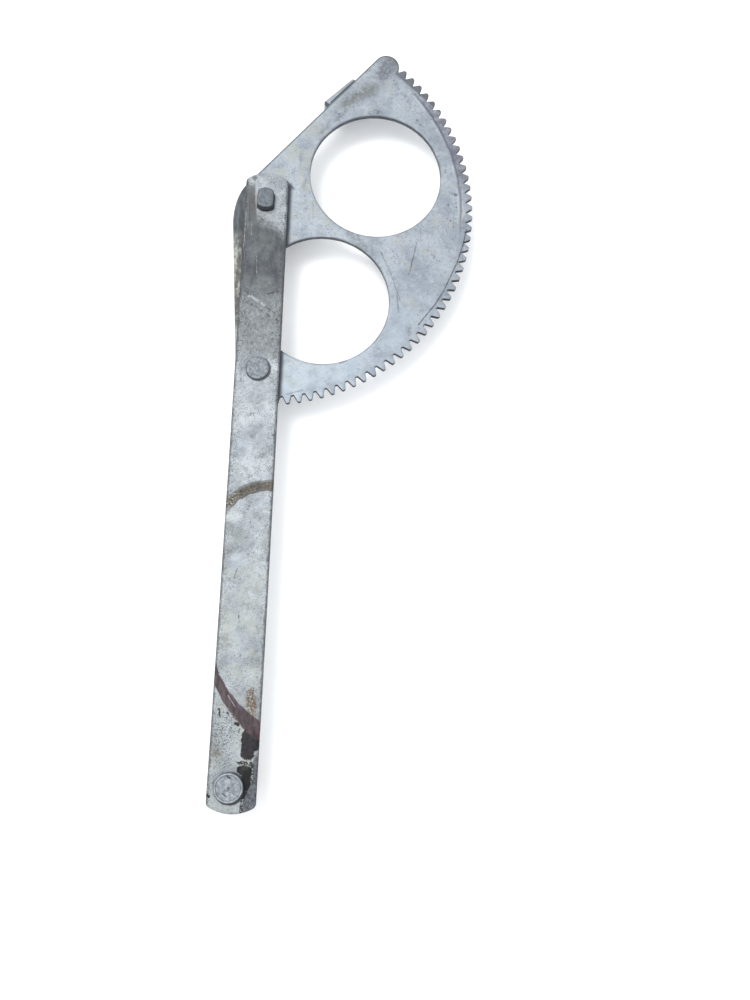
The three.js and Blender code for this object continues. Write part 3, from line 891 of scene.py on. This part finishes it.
    # Black tar, a tan patch, and over them a brown band of old sealant across the arm
    tar, glossy = tar_masks(paint)
    course = (
        ((-9.4, -206.0), 1.1), ((-7.7, -211.4), 1.8), ((-3.0, -218.7), 2.1), ((1.9, -224.4), 2.6),
        ((6.2, -228.2), 3.1), ((11.2, -232.0), 3.3),
    )
    band = union(
        paint.streak(start, end, (near + far) / 2, 0.5, 0.4, 3, 15.0)
        for (start, near), (end, far) in zip(course, course[1:])
    )
    grain = paint.noise(1.6, 53.0, 4, (1, 0.3, 1), 40).ramp(0.35, 0.65)
    brown = paint.mix(grain, srgb(58, 45, 50), srgb(100, 80, 84))
    black = paint.mix(paint.noise(1.4, 81.0, 3).ramp(0.35, 0.65), srgb(14, 12, 14), srgb(46, 38, 44))
    paint.lay(tar, black, 0.97)
    paint.lay(glossy, srgb(7, 7, 8), 0.98)
    tan = (
        paint.streak((6.8, -216.8), (7.6, -226.5), 1.9, 2.4, 1.6, 1.8, 18.0)
        * paint.noise(0.9, 57.0, 4).ramp(0.36, 0.54)
    )
    paint.lay(tan, srgb(122, 106, 86), 0.8)
    paint.lay(band, brown, 0.94)
    paint.lay(tan * paint.y.ramp(-226, -222), srgb(120, 98, 80), 0.7)
    glint = paint.streak((-2.5, -218.0), (0.6, -222.2), 0.12, 0.35, 0.2, 2, 2.0)
    paint.lay(glint, srgb(196, 194, 196), 0.8)
    rim = paint.streak((-1.2, -217.7), (3.6, -223.6), 0.25, 0.5, 0.3, 2, 3.0)
    paint.lay(rim, srgb(112, 108, 132), 0.55)
    crumbling = (
        paint.streak((-2.2, -224.3), (3.6, -231.6), 0.8, 1.6, 1.2, 1.4, 4.0)
        * paint.noise(0.9, 85.0, 3).ramp(0.47, 0.55)
    )
    paint.lay(crumbling, srgb(196, 194, 182), 0.8)
    for start, end, size in (
        ((-5.8, -223.4), (-5.4, -226), 0.4), ((1.2, -228.8), (2.2, -229.3), 0.55),
        ((-2.4, -224.6), (-1.6, -226), 0.2), ((2.7, -232.2), (3.1, -231.2), 0.25),
        ((3.0, -244.3), (4.2, -244.0), 0.4), ((-8.6, -257), (-7.6, -257.6), 0.5),
    ):
        blot = paint.streak(start, end, size, 0.4, 0.9, 1.1, start[1])
        paint.lay(blot, srgb(26, 24, 26), 0.92)
    flaked = (
        paint.streak((4.6, -244.7), (8.2, -243.9), 0.7, 1.0, 0.8, 1.0, 9.0)
        * paint.noise(0.8, 97.0, 3).ramp(0.46, 0.54)
    )
    paint.lay(flaked, srgb(206, 206, 204), 0.9)
    gritty = (
        paint.streak((-5, -226), (-3, -243), 4.2, 5, 2.5, 4, 31.0)
        * paint.noise(0.7, 38.0, 4, rough=0.65).ramp(0.49, 0.62)
    )
    paint.lay(gritty, srgb(78, 82, 82), 0.8)
    dusty = paint.spot(-5.0, -240.5, 1.8, 4, 2.5, 2.5, 21.0) * paint.noise(1.0, 63.0, 4).ramp(0.36, 0.58)
    paint.lay(dusty, srgb(122, 116, 102), 0.65)
    over_line = paint.x + paint.y.ramp(-249, -261, 0, 3.4) + paint.wobble(1.6, 0.8, 25.0)
    lee = over_line.ramp(9.1, 9.7) * paint.y.ramp(-240.5, -243)
    mottled = paint.mix(paint.noise(1.6, 93.0, 5, rough=0.7).ramp(0.38, 0.62), srgb(66, 70, 78),
                        srgb(124, 128, 136))
    paint.lay(lee, mottled, 0.9)
    shore = (
        abs(over_line - 8.9).ramp(0.95, 0.45) * paint.noise(1.0, 89.0, 4, rough=0.65).ramp(0.42, 0.52)
        * paint.y.ramp(-243, -245)
    )
    paint.lay(shore, srgb(22, 23, 26), 0.9)

    # Small dents and scratches
    for start, end, half, tone in (
        ((-0.3, -185), (-0.1, -188.2), 0.22, 78), ((3.5, -44.0), (7.8, -42.6), 0.38, 72),
        ((1.2, -43.4), (3.4, -44), 0.15, 96), ((-7.8, -47.3), (-3.3, -49.3), 0.7, 98),
        ((-3.3, -49.3), (4.8, -54.3), 0.45, 92), ((2.6, -49.9), (9.0, -54.0), 0.28, 84),
        ((10.4, -107.6), (8.6, -108.1), 0.3, 84), ((7.8, -55.7), (8.3, -56.3), 0.5, 74),
        ((6.3, -61.7), (7.1, -62.5), 0.3, 84), ((-6.4, -43.6), (-5.8, -44), 0.75, 88),
        ((-5.9, -83.6), (-5.5, -84.6), 0.3, 84), ((-4.9, -83.6), (-4.6, -85), 0.2, 92),
        ((-5.4, -62.3), (-3.4, -57), 0.3, 118), ((4.6, -128.5), (6.4, -126.3), 0.2, 96),
        ((-3.2, -170), (-2.2, -166), 0.3, 112), ((1.0, -158), (6.5, -151), 0.14, 134),
        ((-1.5, -8.6), (-0.6, -9.4), 0.3, 74), ((4.6, -12.4), (5.6, -12.6), 0.2, 78),
        ((-2.6, -26.7), (-1.9, -36), 0.08, 184), ((-5.6, -10), (-5.5, -17), 0.08, 184),
        ((-8.2, 4), (-8.6, -24), 0.1, 172),
    ):
        line = paint.streak(start, end, half, 0.4, 0.4, 1.1, start[1])
        broken = paint.noise(1.6, start[0], 4, rough=0.65).ramp(0.36, 0.54)
        paint.lay(line * broken, srgb(tone, tone + 4, tone + 7), 0.8)
    white = union(paint.streak(start, end, half, 0.8, 0.7, 1.1, start[0]) for start, end, half in (
        ((-5.4, -45.5), (-3.6, -45.6), 0.35), ((-3.2, -46.2), (-0.6, -47.6), 0.6),
        ((-0.6, -47.6), (2.0, -49.4), 0.5), ((-7.6, -46.5), (-7.2, -46.9), 0.3),
    ))
    white = white * paint.noise(1.0, 99.0, 4, rough=0.65).ramp(0.4, 0.56)
    paint.lay(white, srgb(202, 208, 217), 0.75)

    paint.lay(paint.rear(), plain)
    shade_walls(paint)
    uneven = paint.noise(1.3, 55.0, 5, rough=0.65) * 0.9 - speckle * 0.25
    roughness = paint.noise(5, 65.0, 3).ramp(0.3, 0.7, 0.44, 0.62) - band * 0.15 - glossy * 0.28
    sealed = band.max(tar).max(glossy) * (1.0 - paint.rear())
    bare = (1.0 - sealed) * 0.5
    return paint.coat(roughness, uneven, 0.07, bare)


def tar_masks(paint):
    """The dull tar under the brown band, and the glossy lump that hugs the stud."""
    lump = paint.streak((9, -232), (9.4, -237.0), 2.4, 0.5, 1.0, 1.8, 17.0)
    tar = lump.max(union(paint.streak(start, end, half, 0.5, 1.2, 1.5, 17.0) for start, end, half in (
        ((6.2, -233.0), (6.3, -240.6), 2.3), ((8.4, -236), (7.4, -241.4), 1.9),
        ((4.4, -244.4), (8.0, -244.4), 0.9),
    )))
    glossy = paint.streak((4.4, -247.0), (7.2, -247.0), 1.7, 0.5, 1.0, 1.4, 19.0)
    glossy = glossy.max(paint.streak((6.9, -247.5), (6.7, -253.2), 1.9, 0.5, 0.9, 1.4, 19.0))
    return tar, glossy


def plain_metal(name, light, dark, metallic=0.75, rough=(0.35, 0.55), grain=1.0):
    """Dull metal with cloudy wear, fine grain and painted shade on its sides."""
    paint = Paint(name, metallic)
    return finish_metal(paint, light, dark, rough, grain)


def finish_metal(paint, light, dark, rough, grain, marked=None):
    clouds = paint.noise(2.6 * grain, 3.0, 5, rough=0.65).ramp(0.34, 0.66)
    paint.colour = paint.mix(clouds, light, dark)
    specks = paint.noise(0.4 * grain, 9.0, 3).ramp(0.54, 0.68)
    paint.lay(specks, dark, 0.7)
    if marked:
        marked()
    # Painted shade: the upright sides are darkened towards near black
    side_shade = paint.up.ramp(0.8, 0.3)
    paint.lay(side_shade, paint.mix(0.45, dark, (0.01, 0.011, 0.013, 1)), 0.7)
    roughness = paint.noise(3 * grain, 21.0, 3).ramp(0.3, 0.7, *rough)
    return paint.coat(roughness, paint.noise(0.5 * grain, 13.0, 3), 0.03)


def stud_paint():
    """The stud's steel, with turning rings about its axis, a painted highlight round its rim and a few dark
    marks on its face.
    """
    paint = Paint("stud_steel", 0.5)

    def marked():
        far = paint.from_point(STUD_AT.x, STUD_AT.y)
        wave = paint.math("SINE", (far + paint.wobble(3, 0.15, 4.0)) * 5.5)
        paint.lay(wave.ramp(0.3, 1.0), srgb(150, 156, 164), 0.25)
        ring = abs(far - 5.0).ramp(0.3, 0.1)
        paint.lay(ring, srgb(104, 110, 118), 0.5)
        # A painted highlight round the raised rim of the head
        rim = abs(far - 5.45).ramp(0.3, 0.15)
        light_and_shade = rim * paint.noise(3, 29.0, 3).ramp(0.35, 0.6)
        paint.lay(light_and_shade, srgb(208, 214, 220), 0.45)
        for start, end, half in (
            ((-1.9, -256.2), (-0.5, -257.3), 0.28), ((-0.6, -249.4), (0.5, -250.2), 0.35),
            ((0.1, -254.1), (0.2, -254.3), 0.2), ((2.1, -255.8), (2.4, -256.4), 0.15),
        ):
            mark = paint.streak(start, end, half, 0.35, 0.35, 0.9, start[0])
            paint.lay(mark, srgb(62, 64, 68), 0.85)

    return finish_metal(paint, srgb(192, 198, 204), srgb(132, 138, 145), (0.4, 0.55), 0.7, marked)


# ---------------------------------------------------------------- plates


def sector_relief(x, y, side):
    wavy = 0.04 * ripple(x, y, 16, 3.1 * side) + 0.02 * ripple(x, y, 5, 7.7 * side) - 0.06
    if side > 0:
        worn = smooth(WORN_BAND_RADIUS - 0.2, WORN_BAND_RADIUS + 0.4, math.hypot(x, y))
        wavy -= 0.07 * worn * smooth(66, 54, y) * smooth(-12, 0, y)
    if side > 0 and x < -9.8:
        wavy += 0.14 * smooth(-66, -56, y) * smooth(-12, -20, y) * max(0, ripple(x, y, 1.4, 5.0) + 0.2)
    return wavy


def arm_relief(x, y, side):
    wavy = 0.045 * ripple(x, y, 22, 5.1 * side) + 0.025 * ripple(x, y, 6, 2.7 * side) - 0.07
    if side > 0:
        far = math.hypot(x + 7.3, y - 8.8)
        wavy -= 0.5 * smooth(2.7, 0.6, far)
        wavy += 0.12 * smooth(1.0, 0.2, abs(far - 2.9))
        tar = min(math.hypot((x - 7.4) / 3.6, (y + 237) / 5.6), math.hypot((x - 6.6) / 3, (y + 250) / 4.8))
        wavy += 0.22 * smooth(1.05, 0.75, tar + 0.3 * ripple(x, y, 1.8, 2.0))
        line = abs((x + 3.2) * 19 + (y + 218.9) * 22) / math.hypot(19, 22)
        wavy += 0.09 * smooth(2.9, 1.9, line)
    return wavy


def sector_plate():
    loops = [sector_outline()] + [hole(centre, HOLE_RADIUS, 200) for centre in HOLE_CENTRES]
    loops += [double_flat(2 * HOLE_GAP), hole(RIVET_AT, RIVET_RADIUS + HOLE_GAP, 48)]
    seeds = []
    for shift in (-0.35, 0.55):
        seeds += arc(PIVOT_AT, WORN_BAND_RADIUS + shift, FIRST_TOOTH_ANGLE - 2, -85, 190)
    return plate("sector_plate", loops, SECTOR_BACK, SECTOR_FRONT, 1.0, (0.26, 0.16), sector_relief, seeds)


def stop_tab():
    """The stop tab: the plate's own metal, bent back through a right angle."""
    outer_bend = TAB_INNER_BEND + SECTOR_THICKNESS
    bend = Vector((EDGE_OFFSET + TAB_PROUD - outer_bend, SECTOR_BACK - TAB_INNER_BEND))
    top = SECTOR_FRONT - TAB_STEP_DOWN
    root = bend.x - 2.5
    section = [Vector((root, SECTOR_BACK + 0.1))] + arc(bend, TAB_INNER_BEND, 90, 0, 8)
    section += [Vector((bend.x + TAB_INNER_BEND, 0)), Vector((bend.x + outer_bend, 0))]
    section += [point - Vector((0, TAB_STEP_DOWN)) for point in arc(bend, outer_bend, 0, 90, 16)]
    section.append(Vector((root, top)))
    piece = plate("stop_tab", [section], 0, TAB_WIDTH, 1.2, (0.3, 0.3))
    out = polar(1, EDGE_ANGLE + TAB_SKEW + 90)
    along = polar(1, EDGE_ANGLE + TAB_SKEW)
    start = on_edge(TAB_ALONG, EDGE_OFFSET) - out * EDGE_OFFSET - along * (TAB_WIDTH / 2)
    basis = Matrix((out.to_3d(), (0, 0, 1), along.to_3d())).transposed().to_4x4()
    piece.data.transform(Matrix.Translation(start.to_3d() * MM) @ basis)
    return piece


def lift_bar():
    loops = [arm_outline(0.9), double_flat(2 * HOLE_GAP), hole(RIVET_AT, RIVET_RADIUS + HOLE_GAP, 48)]
    loops.append(hole(STUD_AT, STUD_RADIUS + HOLE_GAP, 48))
    return plate("lift_bar", loops, ARM_BACK, ARM_FRONT, 0.9, (0.45, 0.25), arm_relief)


# ---------------------------------------------------------------- pivot, rivet, stud and roller


def grooved(radius, ring_node, groove_radius):
    """The corners of a shaft's rear end: a chamfer at z = 0 and the groove that a ring sits in."""
    low, high = node_box(ring_node)
    return [
        (0, 0.35, 0.3), (0.8, 0.35, 0.1), (1.1, 0, 0.1), (radius - 0.5, 0, 0.15), (radius, 0.5, 0.15),
        (radius, low.z - SEAT_GAP, 0.1), (groove_radius, low.z - SEAT_GAP, 0.12),
        (groove_radius, high.z + SEAT_GAP, 0.12), (radius, high.z + SEAT_GAP, 0.1),
    ]


def pivot_shaft():
    collar_back = node_box("thrust_washer")[1].z + SEAT_GAP
    collar_front = SECTOR_BACK - SEAT_GAP
    corners = grooved(JOURNAL_RADIUS, "pivot_retaining_ring", 4)
    corners += [(JOURNAL_RADIUS, collar_back, 0.25), (7.5, collar_back, 0.25), (7.5, collar_front, 0.2)]
    corners.append((0, collar_front, 0))
    return turned("pivot_journal", corners, PIVOT_AT)


def pivot_tenon():
    front = node_box("pivot_shaft")[1].z

    def worn(x, y, side):
        return -0.04 + 0.03 * ripple(x, y, 1.5, 4.0) if side > 0 else 0

    corners = [(point, 1.2 if i in (0, 12, 13, 25) else 0) for i, point in enumerate(double_flat(0)[::-1])]
    return plate("pivot_tenon", [rounded(corners)], SECTOR_BACK - 0.8, front, 0.5, (0.5, 0.1), worn)


def pivot_bush():
    low, high = node_box("pivot_bush")
    flange = node_radius("pivot_bush")
    bore = JOURNAL_RADIUS + RUNNING_GAP
    seat = high.z - 2
    return turned("pivot_bushing", [
        (bore + 0.4, low.z, 0.1), (7.0, low.z, 0.15), (7.5, low.z + 0.5, 0.15), (7.5, seat - 0.4, 0.1),
        (7.3, seat - 0.2, 0.1), (7.5, seat, 0.05), (flange, seat, 0.35), (flange, high.z, 0.35),
        (bore + 2.6, high.z, 0.1), (bore + 2.4, high.z - 0.25, 0.1), (bore + 1.9, high.z - 0.25, 0.1),
        (bore + 1.7, high.z, 0.1), (bore + 0.4, high.z, 0.1), (bore, high.z - 0.4, 0.1),
        (bore, low.z + 0.4, 0.1),
    ], PIVOT_AT, closed=True)


def washer(node, name, bore, at):
    """A stamped washer: rounded on its rear side, nearly sharp on its front side."""
    low, high = node_box(node)
    outer = node_radius(node)
    return turned(name, [
        (bore + HOLE_GAP, low.z, 0.25), (outer, low.z, 0.3), (outer, high.z, 0.08),
        (bore + HOLE_GAP, high.z, 0.08),
    ], at, closed=True)


def retaining_ring(node, name, groove, at):
    low, high = node_box(node)
    outline = ring_outline(groove, node_radius(node) - 0.02)
    return plate(name, [[point + at for point in outline]], low.z, high.z, 0.6, (0.06, 0.12))


def rivet():
    low, high = node_box("segment_rivet")
    back = SECTOR_BACK - SEAT_GAP
    seat = ARM_FRONT + SEAT_GAP
    return turned("rivet", [
        (0, low.z + 0.25, 0), (1.3, low.z + 0.2, 0.3), (2.0, low.z, 0.4), (5.0, low.z, 0.5),
        (5.5, back, 0.15),
        (RIVET_RADIUS, back, 0.1), (RIVET_RADIUS, seat, 0.05), (5, seat, 0.12), (5, high.z - 0.3, 0.25),
        (4.5, high.z - 0.02, 0.3), (3, high.z, 1), (0, high.z - 0.02, 0),
    ], RIVET_AT)


def stud():
    high = node_box("end_stud")[1]
    shoulder_front = ARM_BACK - SEAT_GAP
    shoulder_back = shoulder_front - 2.8
    seat = ARM_FRONT + SEAT_GAP
    corners = grooved(STUD_RADIUS, "roller_retaining_ring", 3)
    corners += [
        (STUD_RADIUS, shoulder_back, 0.2), (6, shoulder_back, 0.3), (6, shoulder_front, 0.2),
        (STUD_RADIUS, shoulder_front, 0.1), (STUD_RADIUS, seat, 0.05), (5.9, seat, 0.2),
        (6.0, seat + 0.6, 0.3), (6.0, high.z - 0.7, 0.4), (5.65, high.z, 0.25), (5.2, high.z - 0.02, 0.2),
        (4.95, high.z - 0.3, 0.2),
    ]
    for radius in (4.1, 3.2, 2.3, 1.4):
        corners += [(radius + 0.15, high.z - 0.25, 0.1), (radius, high.z - 0.3, 0.1),
                    (radius - 0.15, high.z - 0.25, 0.1)]
    corners += [(0.45, high.z - 0.2, 0.12), (0.3, high.z - 0.5, 0.1), (0, high.z - 0.6, 0)]
    return turned("guide_stud", corners, STUD_AT)


def roller():
    low, high = node_box("stud_roller")
    outer = node_radius("stud_roller")
    bore = STUD_RADIUS + RUNNING_GAP
    middle = (low.z + high.z) / 2
    return turned("guide_roller", [
        (bore + 0.3, low.z, 0.1), (5.2, low.z, 0.1), (5.5, low.z + 0.6, 0.2), (6.6, low.z + 0.6, 0.2),
        (6.9, low.z, 0.1), (outer - 0.5, low.z, 0.2), (outer, low.z + 0.5, 0.2),
        (outer, middle - 0.15, 0.05), (outer - 0.1, middle, 0.05), (outer, middle + 0.15, 0.05),
        (outer, high.z - 0.5, 0.2), (outer - 0.5, high.z, 0.2), (6.9, high.z, 0.1), (6.6, high.z - 0.6, 0.2),
        (5.5, high.z - 0.6, 0.2), (5.2, high.z, 0.1), (bore + 0.3, high.z, 0.1),
        (bore, high.z - 0.3, 0.1), (bore, low.z + 0.3, 0.1),
    ], STUD_AT, closed=True)


# ---------------------------------------------------------------- camera, floor and light

CAMERA_AT = Vector((33.6, -214.2, 436.2)) * MM
CAMERA_FORWARD = Vector((0.0483, 0.1885, -0.9809))
CAMERA_RIGHT = Vector((0.9977, 0.0385, 0.0566))


def add_camera():
    data = bpy.data.cameras.new("camera")
    data.sensor_width = 36
    data.lens = 36
    data.clip_start = 0.01
    data.clip_end = 20
    camera = bpy.data.objects.new("camera", data)
    back = -CAMERA_FORWARD.normalized()
    up = back.cross(CAMERA_RIGHT).normalized()
    turn = Matrix((up.cross(back), up, back)).transposed()
    camera.matrix_world = Matrix.Translation(CAMERA_AT) @ turn.to_4x4()
    bpy.context.scene.collection.objects.link(camera)
    bpy.context.scene.camera = camera


def add_floor():
    half = 3000
    low = -0.3
    corners = [(-half, -half, low), (half, -half, low), (half, half, low), (-half, half, low)]
    floor = finished("floor", corners, [(0, 1, 2, 3)])
    paint = Paint("floor_paint", 0.0)
    paint.colour = paint.mix(paint.noise(40, 1.0, 2), (0.9, 0.9, 0.9, 1), (0.87, 0.87, 0.875, 1))
    floor.data.materials.append(paint.coat(paint.noise(30, 2.0, 2).ramp(0.3, 0.7, 0.75, 0.85)))


def add_light(name, place, aim, size, energy, tint):
    data = bpy.data.lights.new(name, "AREA")
    data.size = size
    data.energy = energy
    data.color = tint
    lamp = bpy.data.objects.new(name, data)
    lamp.location = place
    lamp.rotation_euler = (Vector(aim) - Vector(place)).to_track_quat("-Z", "Y").to_euler()
    bpy.context.scene.collection.objects.link(lamp)


def add_world():
    world = bpy.data.worlds.new("studio")
    world.use_nodes = True
    background = world.node_tree.nodes["Background"]
    background.inputs["Color"].default_value = (0.96, 0.98, 1, 1)
    background.inputs["Strength"].default_value = 1.4
    bpy.context.scene.world = world
    bpy.context.scene.view_settings.view_transform = "Standard"


add_camera()
add_floor()
add_world()
MIDDLE = ((CAD_LOW[0] + CAD_HIGH[0]) / 2, (CAD_LOW[1] + CAD_HIGH[1]) / 2, 0)
add_light("key", (MIDDLE[0] - 0.5, MIDDLE[1] + 0.32, 1.25), MIDDLE, 0.5, 10, (1, 0.99, 0.97))

# ---------------------------------------------------------------- assembly


def add(piece, body, node, material):
    piece.data.materials.append(material)
    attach(piece, body)
    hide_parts(node)


sector_zinc = sector_paint()
arm_zinc = arm_paint()
shaft_steel = plain_metal("shaft_steel", srgb(132, 140, 147), srgb(98, 104, 111), 0.6, (0.38, 0.52), 0.6)
rivet_steel = plain_metal("rivet_steel", srgb(174, 181, 188), srgb(118, 124, 131), 0.5, (0.5, 0.65), 0.45)
stud_steel = stud_paint()
washer_steel = plain_metal("washer_steel", srgb(184, 186, 190), srgb(128, 130, 134), 0.8, (0.3, 0.5), 1)
ring_steel = plain_metal("ring_steel", srgb(84, 86, 88), srgb(44, 45, 47), 0.7, (0.4, 0.6), 0.8)
bush_bronze = plain_metal("bush_bronze", srgb(168, 146, 98), srgb(112, 94, 62), 0.8, (0.4, 0.6), 0.6)
roller_nylon = plain_metal("roller_nylon", srgb(222, 216, 198), srgb(188, 180, 158), 0.0, (0.4, 0.55), 1.5)

add(sector_plate(), "gear_arm", "sector_gear", sector_zinc)
add(stop_tab(), "gear_arm", "sector_gear", sector_zinc)
add(lift_bar(), "gear_arm", "lift_arm", arm_zinc)
add(rivet(), "gear_arm", "segment_rivet", rivet_steel)
add(pivot_shaft(), "gear_arm", "pivot_shaft", shaft_steel)
add(pivot_tenon(), "gear_arm", "pivot_shaft", shaft_steel)
add(pivot_bush(), "bearing", "pivot_bush", bush_bronze)
for node, name, bore, at in (
    ("thrust_washer", "thrust_disc", JOURNAL_RADIUS, PIVOT_AT),
    ("rear_washer", "rear_disc", JOURNAL_RADIUS, PIVOT_AT),
    ("roller_washer", "roller_disc", STUD_RADIUS, STUD_AT),
):
    add(washer(node, name, bore, at), "gear_arm", node, washer_steel)
for node, name, groove, at in (
    ("pivot_retaining_ring", "pivot_ring", 4, PIVOT_AT),
    ("roller_retaining_ring", "roller_ring", 3, STUD_AT),
):
    add(retaining_ring(node, name, groove, at), "gear_arm", node, ring_steel)
add(stud(), "gear_arm", "end_stud", stud_steel)
add(roller(), "roller", "stud_roller", roller_nylon)
